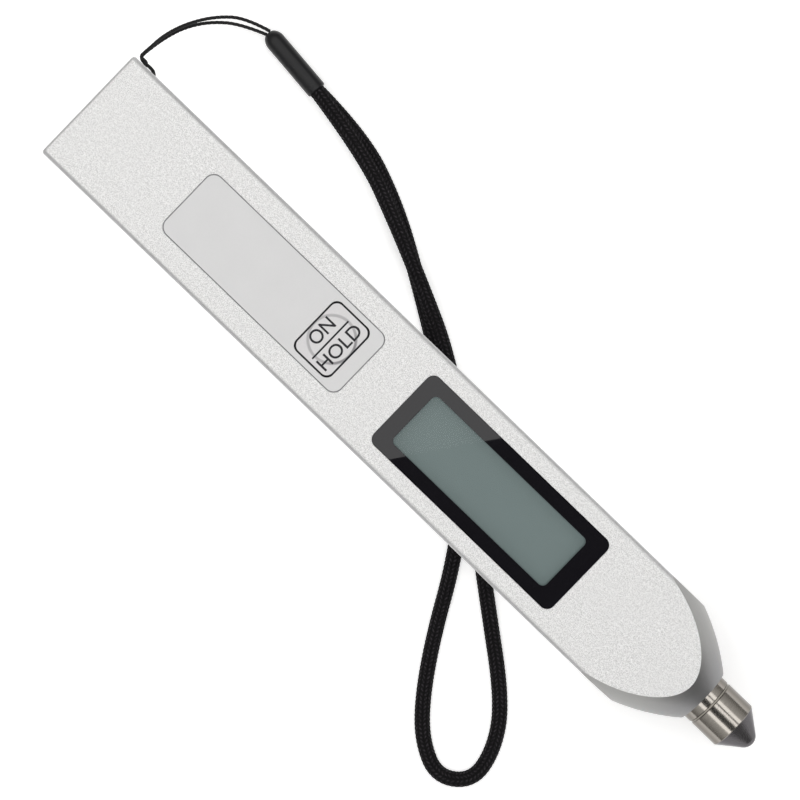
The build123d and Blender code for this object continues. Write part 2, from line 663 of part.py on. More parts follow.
# ---------------------------------------------------------------- files
def main():
    os.makedirs("parts", exist_ok=True)
    single = [
        case_tube, rear_cap, battery_tray, cell_link_strip, contact_block, chassis, circuit_board,
        window_lens, window_mask, display_glass, display_reflector, display_holder, window_gasket,
        label_overlay, key_pad, key_plunger, tactile_dome, switch_base, sensor_barrel, nose_o_ring,
        retaining_nut, insulating_sleeve, insulating_ring, probe_tip, terminal_lug, electrode_nut,
        lanyard_string, strap_sleeve, wrist_cord,
    ]
    for make in single:
        export(make.__name__, make())
    for number, x in enumerate(CELL_CENTRES, 1):
        export(f"button_cell_{number}", button_cell(x))
        export(f"contact_spring_{number}", contact_spring(x, CONTACT_OFFSET * (3 - 2 * number)))
    for number, x in enumerate(CASE_SCREWS, 1):
        export(f"case_screw_{number}", case_screw(x))
    for number, (x, y) in enumerate(BOARD_SCREWS, 1):
        export(f"board_screw_{number}", board_screw(x, y))
    export("zebra_strip_left", zebra_strip(1))
    export("zebra_strip_right", zebra_strip(-1))
    export("battery_lead_red", battery_lead(3.0))
    export("battery_lead_black", battery_lead(-3.0))
    export("probe_lead_signal", probe_lead(4.4, LUG_BACK, BOARD_TOP + 1.1))
    export("probe_lead_ground", probe_lead(-5.0, FLANGE_BACK - 3.1, BOARD_TOP + 0.95))
    export("processor_chip", chip(VIEW_CENTRE, 9.0, 9.0, 1.4))
    export("amplifier_chip", chip(BOARD_START + 26.0, 5.0, 4.0, 1.5))
    export("crystal_can", crystal_can(BOARD_START + 27.0, 5.6))


main()
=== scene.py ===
"""Pen moisture meter: finishes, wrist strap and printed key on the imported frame."""
import bmesh
import bpy
import math
from mathutils import Matrix, Vector


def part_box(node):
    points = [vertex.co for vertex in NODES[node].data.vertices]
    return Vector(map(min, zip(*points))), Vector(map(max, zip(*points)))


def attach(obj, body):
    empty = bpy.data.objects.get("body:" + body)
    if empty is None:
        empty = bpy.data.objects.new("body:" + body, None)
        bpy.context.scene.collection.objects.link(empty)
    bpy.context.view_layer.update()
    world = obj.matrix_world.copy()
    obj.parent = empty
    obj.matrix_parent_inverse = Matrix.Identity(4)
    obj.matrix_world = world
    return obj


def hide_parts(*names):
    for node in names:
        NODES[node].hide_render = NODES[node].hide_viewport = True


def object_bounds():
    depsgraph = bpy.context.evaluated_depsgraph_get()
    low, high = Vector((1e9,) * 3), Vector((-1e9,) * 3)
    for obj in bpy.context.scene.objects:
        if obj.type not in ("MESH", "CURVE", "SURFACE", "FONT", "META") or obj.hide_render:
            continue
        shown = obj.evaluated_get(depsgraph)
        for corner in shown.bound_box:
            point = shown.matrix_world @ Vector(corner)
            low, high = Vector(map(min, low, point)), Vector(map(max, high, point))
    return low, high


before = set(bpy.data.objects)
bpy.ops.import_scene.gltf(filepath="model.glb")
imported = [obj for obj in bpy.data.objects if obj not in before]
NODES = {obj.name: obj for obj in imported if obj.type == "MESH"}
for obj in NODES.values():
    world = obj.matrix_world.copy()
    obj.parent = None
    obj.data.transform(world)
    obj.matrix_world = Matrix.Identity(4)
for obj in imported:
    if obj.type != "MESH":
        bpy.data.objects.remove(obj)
CAD_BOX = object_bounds()
MM = 0.001
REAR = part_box("case_tube")[0].x
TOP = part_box("case_tube")[1].z
FLOOR = CAD_BOX[0].z

# ------------------------------------------------------------------ camera
VIEW_HEIGHT = 0.507
VIEW_TURN = math.radians(43.975)
VIEW_LEAN = math.radians(1.0)
VIEW_AIM = (70.1, 0.47)
FOCAL_LENGTH = 138.2


def overhead_camera():
    """The camera over the meter, leaning a little to the strap's side."""
    lens = bpy.data.cameras.new("overhead_camera")
    lens.lens = FOCAL_LENGTH
    lens.sensor_width = 36
    lens.clip_start = 0.01
    lens.clip_end = 20
    camera = bpy.data.objects.new("overhead_camera", lens)
    bpy.context.scene.collection.objects.link(camera)
    lean = Matrix.Rotation(-VIEW_LEAN, 4, "X")
    turn = Matrix.Rotation(VIEW_TURN, 4, "Z")
    aim = Matrix.Translation((REAR + VIEW_AIM[0] * MM, VIEW_AIM[1] * MM, 0))
    camera.matrix_world = aim @ lean @ turn @ Matrix.Translation((0, 0, VIEW_HEIGHT))
    bpy.context.scene.camera = camera


# ------------------------------------------------------------------ shading helper
PER_METRE = 1000.0
SURFACE_NORMAL = 1
PATTERN_COORDINATES = 2
OBJECT_COORDINATES = 3


class Shade:
    """A value in a material's nodes. Arithmetic on it adds the Math nodes it needs."""

    def __init__(self, tree, value):
        self.tree = tree
        self.value = value

    def node(self, kind, settings=None, values=None, output=0):
        """Any other node: its type, its settings and what goes into its sockets."""
        made = self.tree.nodes.new(kind)
        for name, setting in (settings or {}).items():
            setattr(made, name, setting)
        for socket, value in (values or {}).items():
            if isinstance(value, Shade) and isinstance(value.value, bpy.types.NodeSocket):
                self.tree.links.new(value.value, made.inputs[socket])
            elif isinstance(value, Shade):
                made.inputs[socket].default_value = value.value
            else:
                made.inputs[socket].default_value = value
        return Shade(self.tree, made.outputs[output])

    def maths(self, operation, *others):
        """One Math node on this value and the others."""
        values = {0: self}
        for number, other in enumerate(others):
            values[number + 1] = other
        return self.node("ShaderNodeMath", {"operation": operation}, values)

    def __add__(self, other):
        return self.maths("ADD", other)

    def __sub__(self, other):
        return self.maths("SUBTRACT", other)

    def __mul__(self, other):
        return self.maths("MULTIPLY", other)

    def __pow__(self, other):
        return self.maths("POWER", other)

    def __abs__(self):
        return self.maths("ABSOLUTE")

    def __radd__(self, other):
        return Shade(self.tree, other).maths("ADD", self)

    def __rsub__(self, other):
        return Shade(self.tree, other).maths("SUBTRACT", self)

    def __rmul__(self, other):
        return Shade(self.tree, other).maths("MULTIPLY", self)

    def at_least(self, other):
        return self.maths("MAXIMUM", other)

    def at_most(self, other):
        return self.maths("MINIMUM", other)

    def ramp(self, low, high):
        """0 below low and 1 above high, with a soft step between."""
        settings = {"interpolation_type": "SMOOTHSTEP"}
        return self.node("ShaderNodeMapRange", settings, {0: self, 1: low, 2: high})

    def between(self, first, second):
        """The colour first where this is 0, and second where it is 1."""
        colours = {0: self, 6: first, 7: second}
        settings = {"data_type": "RGBA"}
        return self.node("ShaderNodeMix", settings, colours, output=2)

    def parts(self):
        """A vector's three numbers."""
        split = self.node("ShaderNodeSeparateXYZ", {}, {0: self})
        outputs = split.value.node.outputs
        return [Shade(self.tree, socket) for socket in outputs]

    def height(self, depth, strength):
        """This number as a surface height, with its full depth in metres."""
        values = {"Height": self, "Distance": depth, "Strength": strength}
        return self.node("ShaderNodeBump", {}, values)


class Finish:
    """A material on one shader, with the object's coordinates in millimetres."""

    def __init__(self, name, **constants):
        self.material = bpy.data.materials.new(name)
        self.material.use_nodes = True
        self.tree = self.material.node_tree
        self.shader = self.tree.nodes["Principled BSDF"]
        self.start = Shade(self.tree, 0.0)
        for socket, value in constants.items():
            self.shader.inputs[socket.replace("_", " ")].default_value = value
        self.point = self.start.node("ShaderNodeTexCoord", output=OBJECT_COORDINATES)
        scaled = {0: self.point, "Scale": PER_METRE}
        millimetres = self.start.node("ShaderNodeVectorMath", {"operation": "SCALE"}, scaled)
        self.x, self.y, self.z = millimetres.parts()

    def noise(self, size, detail=2.0, stretch=None):
        """Cloudy noise whose grains are about size millimetres across."""
        where = self.point
        if stretch:
            where = self.start.node("ShaderNodeMapping", {}, {0: self.point, 3: stretch})
        values = {"Vector": where, "Scale": PER_METRE / size, "Detail": detail}
        return self.start.node("ShaderNodeTexNoise", {}, values)

    def wrapped(self):
        """How far along a cord and how far round it, each from 0 to 1."""
        cloth = self.start.node("ShaderNodeTexCoord", output=PATTERN_COORDINATES)
        return cloth.parts()[:2]

    def rings(self, pitch):
        """Tool rings round the meter's length, pitch millimetres apart."""
        return (self.x * (2 * math.pi / pitch)).maths("SINE") * 0.5 + 0.5

    def facing(self):
        """The three parts of the surface's own direction."""
        return self.start.node("ShaderNodeNewGeometry", output=SURFACE_NORMAL).parts()

    def plate_edge(self, centre_x, centre_y, length, width, corner):
        """Millimetres outside the edge of a flat plate with round corners."""
        past_x = abs(self.x - centre_x) - (length / 2 - corner)
        past_y = abs(self.y - centre_y) - (width / 2 - corner)
        over_x = past_x.at_least(0.0)
        over_y = past_y.at_least(0.0)
        round_part = (over_x * over_x + over_y * over_y) ** 0.5
        inner = past_x.at_least(past_y).at_most(0.0)
        return round_part + inner - corner

    def wear(self, **inputs):
        """Connects what varies over the surface."""
        for socket, value in inputs.items():
            self.tree.links.new(value.value, self.shader.inputs[socket.replace("_", " ")])
        return self.material


def colour_of(red, green, blue):
    """A colour with nothing showing through it."""
    return (red, green, blue, 1.0)


def grey(value):
    """A neutral colour."""
    return colour_of(value, value, value)


# ------------------------------------------------------------------ wrist strap and string
SLOT_LEVEL = 2.0
LOW = -8.3
HIGH = -6.7
SLEEVE_LEVEL = -7.35
STRAP_WIDTH = 2.4
STRAP_THICKNESS = 1.5
STRING_DIAMETER = 0.6
STRAP_STEPS = 2350
STRAP_SIDES = 40
STRING_STEPS = 900
STRING_SIDES = 18
# Control points in millimetres: forward from the rear end, to the side, and up.
STRAP_ROUTE = [
    (24.2, 28.0, SLEEVE_LEVEL - 0.75), (35.0, 27.7, LOW), (46.6, 23.55, LOW),
    (57.6, 17.35, LOW), (78.6, 4.1, LOW), (88.6, -3.6, LOW), (95.6, -13.2, LOW),
    (101.6, -24.2, LOW), (107.4, -32.9, LOW), (112.4, -38.2, LOW), (118.4, -41.0, LOW),
    (123.4, -37.3, LOW), (122.1, -30.6, LOW), (117.4, -24.0, LOW), (104.6, -14.2, LOW),
    (84.2, 1.7, LOW), (70.3, 11.5, LOW), (60.6, 16.1, HIGH), (49.6, 20.95, HIGH),
    (37.5, 25.75, HIGH), (24.2, 27.9, SLEEVE_LEVEL + 0.85),
]
OUTER_STRAND = [
    (11.6, 29.65, SLEEVE_LEVEL), (7.2, 28.4, -6.4), (3.7, 25.0, -4.6), (1.4, 20.9, -2.4),
    (0.32, 16.9, 0.1),
]
INNER_STRAND = [
    (11.6, 28.85, SLEEVE_LEVEL), (7.2, 27.05, -6.6), (3.6, 23.8, -5.3), (1.5, 20.3, -3.4),
    (0.65, 16.9, -1.0),
]
# The hitch's heights are from the slots' level, and its lower half mirrors its upper one.
HITCH = [
    (0.35, 13.3, 0.35), (0.15, 11.05, 0.35), (4.1, 11.5, 0.35), (4.1, 8.7, 0.35),
    (1.8, 8.7, 1.0), (1.8, 11.5, 1.0), (0.8, 11.5, 1.0),
]


def string_route():
    """Both strands, and the lark's head that they make through the two slots."""
    upper = [(x, y, SLOT_LEVEL + z) for x, y, z in HITCH]
    lower = [(x, y, SLOT_LEVEL - z) for x, y, z in reversed(HITCH)]
    return OUTER_STRAND + upper + lower + INNER_STRAND[::-1]


def smooth_line(name, route):
    """Points close together along a smooth spline whose control points are the route."""
    curve = bpy.data.curves.new(name, "CURVE")
    curve.dimensions = "3D"
    spline = curve.splines.new("NURBS")
    spline.points.add(len(route) - 1)
    for point, (x, y, z) in zip(spline.points, route):
        point.co = (REAR + x * MM, y * MM, z * MM, 1.0)
    spline.order_u = 3
    spline.use_endpoint_u = True
    spline.resolution_u = 48
    guide = bpy.data.objects.new(name, curve)
    bpy.context.scene.collection.objects.link(guide)
    bpy.context.view_layer.update()
    line = bpy.data.meshes.new_from_object(guide)
    points = [vertex.co.copy() for vertex in line.vertices]
    bpy.data.objects.remove(guide)
    bpy.data.meshes.remove(line)
    return points


def even_steps(points, count):
    """The same line as count + 1 points at equal distances, and its length."""
    travelled = [0.0]
    for first, second in zip(points, points[1:]):
        travelled.append(travelled[-1] + (second - first).length)
    total = travelled[-1]
    steps = []
    place = 0
    for number in range(count + 1):
        wanted = total * number / count
        while place < len(points) - 2 and travelled[place + 1] < wanted:
            place += 1
        gap = max(travelled[place + 1] - travelled[place], 1e-12)
        share = min(max((wanted - travelled[place]) / gap, 0.0), 1.0)
        steps.append(points[place].lerp(points[place + 1], share))
    return steps, total


def directions(line):
    """The way that the line runs at each of its points."""
    last = len(line) - 1
    for number in range(len(line)):
        yield (line[min(number + 1, last)] - line[max(number - 1, 0)]).normalized()


def carried_frames(line, first_side):
    """The line's direction at each point and a side direction that never twists."""
    frames = []
    side = Vector(first_side)
    for along in directions(line):
        side = (side - along * side.dot(along)).normalized()
        frames.append((along, side, along.cross(side)))
    return frames


def level_frames(line):
    """The line's direction at each point, a level side direction and what is up."""
    frames = []
    for along in directions(line):
        side = along.cross(Vector((0, 0, 1))).normalized()
        frames.append((along, side, side.cross(along)))
    return frames


def wrapped_cord(name, line, frames, around, section):
    """A grid bent round the line, whose section gives the offset at each share of a turn."""
    work = bmesh.new()
    length_steps = len(line) - 1
    work.loops.layers.uv.new("UVMap")
    bmesh.ops.create_grid(work, x_segments=length_steps, y_segments=around, size=1.0,
                          calc_uvs=True)
    step = 0.0
    distances = [0.0]
    for first, second in zip(line, line[1:]):
        step += (second - first).length
        distances.append(step)
    for vertex in work.verts:
        number = round((vertex.co.x + 1) / 2 * length_steps)
        share = (vertex.co.y + 1) / 2
        side_offset, up_offset = section(share, distances[number])
        along, side, up = frames[number]
        vertex.co = line[number] + side * side_offset + up * up_offset
    bmesh.ops.remove_doubles(work, verts=work.verts, dist=0.000001)
    rims = [edge for edge in work.edges if edge.is_boundary]
    bmesh.ops.holes_fill(work, edges=rims, sides=0)
    bmesh.ops.recalc_face_normals(work, faces=work.faces)
    return finished(name, work)


def finished(name, work, smooth=True):
    """Turns the work in hand into an object in the scene."""
    mesh = bpy.data.meshes.new(name)
    for face in work.faces:
        face.smooth = smooth
    work.to_mesh(mesh)
    work.free()
    piece = bpy.data.objects.new(name, mesh)
    bpy.context.scene.collection.objects.link(piece)
    return piece


BRAID_COLUMNS = 10
BRAID_DEPTH = 0.13
STITCH = 0.72
STITCH_SLANT = 0.9
RIDGE_POWER = 0.7
CROWN_POWER = 0.6
STRING_LAY = 2.6


def braid_section(share, distance):
    """A flattened round section with slanting stitches in columns."""
    column = share * BRAID_COLUMNS + 0.5
    across = column % 1.0
    lean = 1 if int(column) % 2 else -1
    stitch = distance / MM / STITCH + lean * (across - 0.5) * STITCH_SLANT
    ridge = abs(math.cos(math.pi * stitch)) ** RIDGE_POWER
    crown = max(math.sin(math.pi * across), 0.0) ** CROWN_POWER
    sunk = BRAID_DEPTH * (1 - crown * (0.45 + 0.55 * ridge))
    turn = 2 * math.pi * share
    side = (STRAP_WIDTH / 2 + BRAID_DEPTH - sunk) * math.cos(turn)
    up = (STRAP_THICKNESS / 2 - sunk) * math.sin(turn)
    return side * MM, up * MM


def twisted_section(share, distance):
    """Three plies laid round each other."""
    turn = 2 * math.pi * share
    lay = 2 * math.pi * distance / MM / STRING_LAY
    ply = abs(math.cos(1.5 * (turn - lay)))
    radius = STRING_DIAMETER / 2 * (0.8 + 0.2 * ply ** 0.8)
    return radius * math.cos(turn) * MM, radius * math.sin(turn) * MM


def braided_nylon(strap_length):
    """Black filament braid: slanting stitches in columns, a fine yarn grain and painted glints
    on the stitch crowns.
    """
    finish = Finish("braided_nylon", Specular_IOR_Level=0.22)
    along, around = finish.wrapped()
    column = around * float(BRAID_COLUMNS) + 0.5
    across = column.maths("FRACT")
    lean = (column * 0.5).maths("FRACT").maths("GREATER_THAN", 0.5) * 2.0 - 1.0
    stitch_count = strap_length / MM / STITCH
    stitch = along * stitch_count + lean * (across - 0.5) * STITCH_SLANT
    ridge = abs((stitch * math.pi).maths("COSINE")) ** RIDGE_POWER
    crown = (across * math.pi).maths("SINE").at_least(0.0) ** CROWN_POWER
    yarn = ((stitch * 5.0 - across * 4.0) * math.pi).maths("SINE") * 0.5 + 0.5
    fuzz = finish.noise(0.09, 3.0)
    sheen_patches = finish.noise(0.38, 2.0).ramp(0.36, 0.64)
    raised = crown * (ridge * 0.6 + 0.3) + yarn * 0.08 + fuzz * 0.2
    # Painted highlight: the stitch crowns lighter, in scattered spots, where the yarn would
    # catch the light; the same mask lowers the roughness there.
    painted_sheen = (crown * ridge).ramp(0.5, 1.0) * (fuzz * 0.8 + 0.5) * (sheen_patches * 0.85 + 0.15)
    colour = painted_sheen.between(colour_of(0.0026, 0.0021, 0.0028), colour_of(0.036, 0.031, 0.037))
    roughness = 0.78 - painted_sheen * 0.34
    normal = raised.height(0.2 * MM, 1.0)
    return finish.wear(Base_Color=colour, Roughness=roughness, Normal=normal)


def twisted_nylon():
    """The thin black string, plied and slightly glossy, with painted sheen along the crests of
    its fibres.
    """
    finish = Finish("twisted_nylon", Specular_IOR_Level=0.32)
    along, around = finish.wrapped()
    fibre = ((around * 18.0 + along * 420.0) * math.pi).maths("SINE") * 0.5 + 0.5
    fuzz = finish.noise(0.08)
    # Painted highlight: the fibres lighter along their crests, standing in for their sheen.
    painted_sheen = fibre * fuzz
    colour = painted_sheen.between(colour_of(0.004, 0.004, 0.0045), colour_of(0.016, 0.016, 0.017))
    roughness = 0.5 + fuzz * 0.25
    normal = fibre.height(0.03 * MM, 0.7)
    return finish.wear(Base_Color=colour, Roughness=roughness, Normal=normal)


def make_strap():
    """The strap out of the sleeve, under the case, round its loop and back."""
    line, length = even_steps(smooth_line("strap_route", STRAP_ROUTE), STRAP_STEPS)
    strap = wrapped_cord("braided_strap", line, level_frames(line), STRAP_SIDES, braid_section)
    strap.data.materials.append(braided_nylon(length))
    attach(strap, "body")
    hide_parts("wrist_cord")
    path = [tuple(point) for point in line[::4]]
    path.append(tuple(line[-1]))


def make_string():
    """The string from the sleeve to its hitch in the case wall and back."""
    line, length = even_steps(smooth_line("string_route", string_route()), STRING_STEPS)
    frames = carried_frames(line, (0, 1, 0))
    string = wrapped_cord("strap_string", line, frames, STRING_SIDES, twisted_section)
    string.data.materials.append(twisted_nylon())
    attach(string, "body")
    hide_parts("lanyard_string")


overhead_camera()
make_strap()
make_string()


# ------------------------------------------------------------------ metal
# Where each finish fades into the next, in millimetres.
NOSE_START = (20.0, 21.0)
# The nose's tip: where its painted darker, bluer reflection comes in.
NOSE_TIP_REFLECTION = (56.0, 63.5)
CONE_START = (71.1, 71.4)
CAVITY_SIDE = (9.42, 9.5)
CAVITY_ROOF = (6.02, 6.1)


def blasted_aluminium():
    """Glass-blasted, clear anodised: bright grains, a turned nose in painted darker
    reflection, and softer edges with painted shade.
    """
    finish = Finish("blasted_aluminium", Metallic=0.85, Specular_IOR_Level=0.5)
    face_x, face_y, face_z = finish.facing()
    turned = face_x.ramp(0.05, 0.14) * finish.x.ramp(*NOSE_START)
    rounded_edge_and_shade = (abs(face_y * face_z) + abs(face_x * face_z)).ramp(0.03, 0.3) * (1.0 - turned)
    inside = 1.0 - abs(finish.y).ramp(*CAVITY_SIDE)
    inside = inside * (1.0 - abs(finish.z).ramp(*CAVITY_ROOF))
    grain = finish.noise(0.17, 2.0)
    coarse = finish.noise(0.5, 1.0)
    cloud = finish.noise(9.0, 2.0)
    speck = (grain * 0.8 + coarse * 0.2).ramp(0.34, 0.64)
    blasted = speck.between(grey(0.61), grey(0.975))
    blasted = (cloud.ramp(0.3, 0.7) * 0.25).between(blasted, colour_of(0.81, 0.81, 0.806))
    # Painted reflection: the turned nose far darker than the aluminium is, and darker and
    # bluer towards its tip, standing in for the dim room it reflects.
    satin = grain.between(colour_of(0.285, 0.284, 0.279), colour_of(0.36, 0.358, 0.351))
    satin = (finish.x.ramp(*NOSE_TIP_REFLECTION) * 0.4).between(satin, colour_of(0.2, 0.2, 0.222))
    colour = turned.between(blasted, satin)
    # Painted shade: the edge fillets darker, as where they turn away from the light above.
    colour = (rounded_edge_and_shade * 0.62).between(colour, colour_of(0.42, 0.42, 0.43))
    colour = (inside * (1.0 - turned)).between(colour, colour_of(0.5, 0.5, 0.51))
    rings = finish.rings(0.11)
    roughness = 0.58 + speck * 0.08 - turned * 0.26 - rounded_edge_and_shade * 0.1
    relief = speck * (1.0 - turned * 0.75) + rings * turned * 0.3
    normal = relief.height(0.02 * MM, 0.55)
    return finish.wear(Base_Color=colour, Roughness=roughness, Normal=normal)


def cap_aluminium():
    """The battery end's plate, blasted like the case."""
    finish = Finish("cap_aluminium", Metallic=0.85)
    grain = finish.noise(0.17, 2.0)
    speck = grain.ramp(0.34, 0.64)
    colour = speck.between(grey(0.61), colour_of(0.86, 0.86, 0.858))
    roughness = 0.56 + speck * 0.08
    normal = speck.height(0.012 * MM, 0.5)
    return finish.wear(Base_Color=colour, Roughness=roughness, Normal=normal)


def turned_steel():
    """The probe: fine tool rings on ground stainless steel, painted shade along its sides and
    a cone painted darker as a reflection.
    """
    finish = Finish("turned_steel", Metallic=1.0)
    cone = finish.x.ramp(*CONE_START)
    rings = finish.rings(0.085)
    drift = finish.noise(0.35, 2.0, stretch=(3.0, 0.25, 0.25))
    scratch = finish.noise(0.06, 2.0, stretch=(1.0, 0.06, 0.06))
    tone = drift * 0.6 + scratch * 0.4
    steel = tone.between(colour_of(0.32, 0.298, 0.27), colour_of(0.48, 0.452, 0.415))
    # Painted shade: the probe darker where it faces sideways, away from the light above.
    flank_painted_shade = abs(finish.facing()[2]).ramp(0.45, 0.8)
    steel = flank_painted_shade.between(colour_of(0.19, 0.174, 0.155), steel)
    # Painted reflection: the cone much darker, standing in for the dark card in front that it
    # reflects.
    colour = (cone * 0.82).between(steel, colour_of(0.064, 0.062, 0.075))
    roughness = 0.12 + tone * 0.08 + cone * 0.08
    normal = (rings * 0.6 + scratch * 0.4).height(0.004 * MM, 0.6)
    return finish.wear(Base_Color=colour, Roughness=roughness, Normal=normal)


def nickel(name, base=0.6):
    """Plated sheet, springs, cells and screws."""
    finish = Finish(name, Metallic=1.0)
    brushed = finish.noise(0.12, 2.0, stretch=(0.15, 1.0, 1.0))
    cloud = finish.noise(1.6, 2.0)
    colour = cloud.between(grey(base * 0.85), grey(base * 1.15))
    roughness = 0.2 + brushed * 0.18
    normal = brushed.height(0.004 * MM, 0.5)
    return finish.wear(Base_Color=colour, Roughness=roughness, Normal=normal)


# ------------------------------------------------------------------ plastics and rubbers
def moulded(name, colour, rough, grain=0.16, depth=0.012, **constants):
    """A moulded part with a fine eroded texture, its grain and depth in millimetres."""
    finish = Finish(name, **constants)
    texture = finish.noise(grain, 2.0)
    cloud = finish.noise(2.5, 2.0)
    low = colour_of(*[part * 0.85 for part in colour])
    high = colour_of(*[min(part * 1.15, 1.0) for part in colour])
    tone = texture * 0.4 + cloud * 0.6
    roughness = rough + texture * 0.12
    normal = texture.height(depth * MM, 0.6)
    return finish.wear(Base_Color=tone.between(low, high), Roughness=roughness, Normal=normal)


# ------------------------------------------------------------------ label and key
LABEL_CORNER = 1.8
KEY_CENTRE = 55.27
KEY_FRAME = (8.0, 10.6, 1.4)  # length, width and corner radius
DIVIDER_BACK = 0.1
DIVIDER_SHIFT = 0.25
DIVIDER_REACH = 4.25


def printed_film():
    """The silver label: satin film with a fine tooth and a thin line of painted shade at its
    cut edge.
    """
    finish = Finish("printed_film", Metallic=0.35, Specular_IOR_Level=0.4)
    low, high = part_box("label_overlay")
    middle = (low + high) / 2 / MM
    size = (high - low) / MM
    edge = finish.plate_edge(middle.x, middle.y, size.x, size.y, LABEL_CORNER)
    # Painted shade: a thin dark line just inside the film's edge, where the gap round the
    # label lies in shadow.
    line = edge.ramp(-0.2, -0.08)
    tooth = finish.noise(0.2, 2.0)
    cloud = finish.noise(5.0, 2.0)
    tone = tooth * 0.5 + cloud * 0.5
    film = tone.between(colour_of(0.69, 0.69, 0.695), colour_of(0.76, 0.76, 0.765))
    colour = line.between(film, colour_of(0.2, 0.2, 0.21))
    normal = (tooth * 0.4 - line).height(0.01 * MM, 0.5)
    return finish.wear(Base_Color=colour, Roughness=0.5 + tooth * 0.1, Normal=normal)


def printed_key():
    """The key: label film over the switch, with its frame line, divider and a raised ring in
    painted shade.
    """
    finish = Finish("printed_key", Metallic=0.3, Specular_IOR_Level=0.4)
    centre = REAR / MM + KEY_CENTRE
    edge = finish.plate_edge(centre, 0.0, *KEY_FRAME)
    frame_line = edge.ramp(-0.2, -0.13)
    from_divider = abs(finish.x - centre + DIVIDER_BACK)
    from_ends = abs(finish.y + DIVIDER_SHIFT) - DIVIDER_REACH
    divider = (1.0 - from_divider.ramp(0.12, 0.18)) * (1.0 - from_ends.ramp(-0.03, 0.03))
    across = finish.x - centre
    radius = (across * across + finish.y * finish.y) ** 0.5
    ring = radius.ramp(3.6, 3.8) * (1.0 - radius.ramp(4.0, 4.3))
    ring_shade_strength = (across * 0.25).ramp(0.2, 1.0) * 0.45 + 0.5
    dome = 1.0 - radius.ramp(2.0, 3.8)
    tooth = finish.noise(0.2, 2.0)
    film = tooth.between(colour_of(0.69, 0.68, 0.69), colour_of(0.76, 0.75, 0.76))
    # Painted shade: the raised ring darker than the film, most of all on its front side.
    film = (ring * ring_shade_strength).between(film, colour_of(0.24, 0.235, 0.245))
    ink = frame_line.at_least(divider)
    colour = ink.between(film, colour_of(0.012, 0.011, 0.015))
    normal = (dome * 0.5 + ring * 0.5 + tooth * 0.08).height(0.06 * MM, 0.5)
    return finish.wear(Base_Color=colour, Roughness=0.48 + tooth * 0.1, Normal=normal)


# ------------------------------------------------------------------ window and display
OPENING = (34.5, 10.65, 1.0)  # length, width and corner radius
OPENING_BACK = 0.2
# Where the painted shade at the display's front end comes in, in millimetres.
DISPLAY_FRONT_SHADE = (32.2, 33.7)


def view_opening(finish):
    """Millimetres outside the clear part of the window."""
    low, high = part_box("window_mask")
    middle = (low + high) / 2 / MM
    return finish.plate_edge(middle.x - OPENING_BACK, middle.y, *OPENING)


def window_glass():
    """Gloss window: black printed border, clear over the display."""
    finish = Finish("window_glass", IOR=1.435, Specular_IOR_Level=0.5)
    outside = view_opening(finish).ramp(-0.05, 0.05)
    smear = finish.noise(3.0, 2.0)
    colour = smear.between(colour_of(0.0078, 0.0072, 0.0092), colour_of(0.0098, 0.0092, 0.012))
    alpha = outside * 0.9 + 0.09
    roughness = 0.004 + smear * 0.008
    return finish.wear(Base_Color=colour, Roughness=roughness, Alpha=alpha)


def border_print():
    """The opaque black border behind the window."""
    finish = Finish("border_print", Specular_IOR_Level=0.3)
    tooth = finish.noise(0.3, 2.0)
    colour = tooth.between(colour_of(0.004, 0.004, 0.005), colour_of(0.009, 0.009, 0.011))
    return finish.wear(Base_Color=colour, Roughness=0.35 + tooth * 0.2)


def display_cell():
    """The grey-green display, lit by a painted glow of its own, with painted shade along the
    edges that its frame shades.
    """
    finish = Finish("display_cell", Specular_IOR_Level=0.12, Emission_Strength=0.41)
    edge = view_opening(finish)
    front = finish.x.ramp(*DISPLAY_FRONT_SHADE)
    side = edge.ramp(-0.35, 0.05)
    cloud = finish.noise(12.0, 1.0)
    weave = finish.noise(0.1, 1.0)
    tone = cloud * 0.6 + weave * 0.4
    glow = tone.between(colour_of(0.287, 0.366, 0.36), colour_of(0.301, 0.383, 0.376))
    # Painted shade: darker along the opening's edges and most at its front end.
    shaded = (side * 0.4).at_least(front * 0.7)
    colour = shaded.between(glow, colour_of(0.05, 0.07, 0.07))
    # Painted glow: the base colour dimmed and the same colour given off as light, which evens
    # out the display's shading.
    dimmed = (weave * 0.04 + 0.62).between(colour, grey(0.0))
    return finish.wear(Base_Color=dimmed, Emission_Color=colour, Roughness=0.42 + weave * 0.1)


def solder_mask():
    """The board's green mask, with darker copper runs under it."""
    finish = Finish("solder_mask", Coat_Weight=0.4, Coat_Roughness=0.2)
    runs = (finish.y * 1.9).maths("FRACT").ramp(0.4, 0.5)
    runs = runs * finish.noise(3.0, 1.0).ramp(0.45, 0.55)
    tooth = finish.noise(0.3, 2.0)
    colour = runs.between(colour_of(0.012, 0.11, 0.045), colour_of(0.02, 0.19, 0.08))
    normal = runs.height(0.03 * MM, 0.5)
    return finish.wear(Base_Color=colour, Roughness=0.35 + tooth * 0.15, Normal=normal)


# ------------------------------------------------------------------ key legends
STROKE_GROWTH = 0.008
LEGEND_DEPTH = 0.018


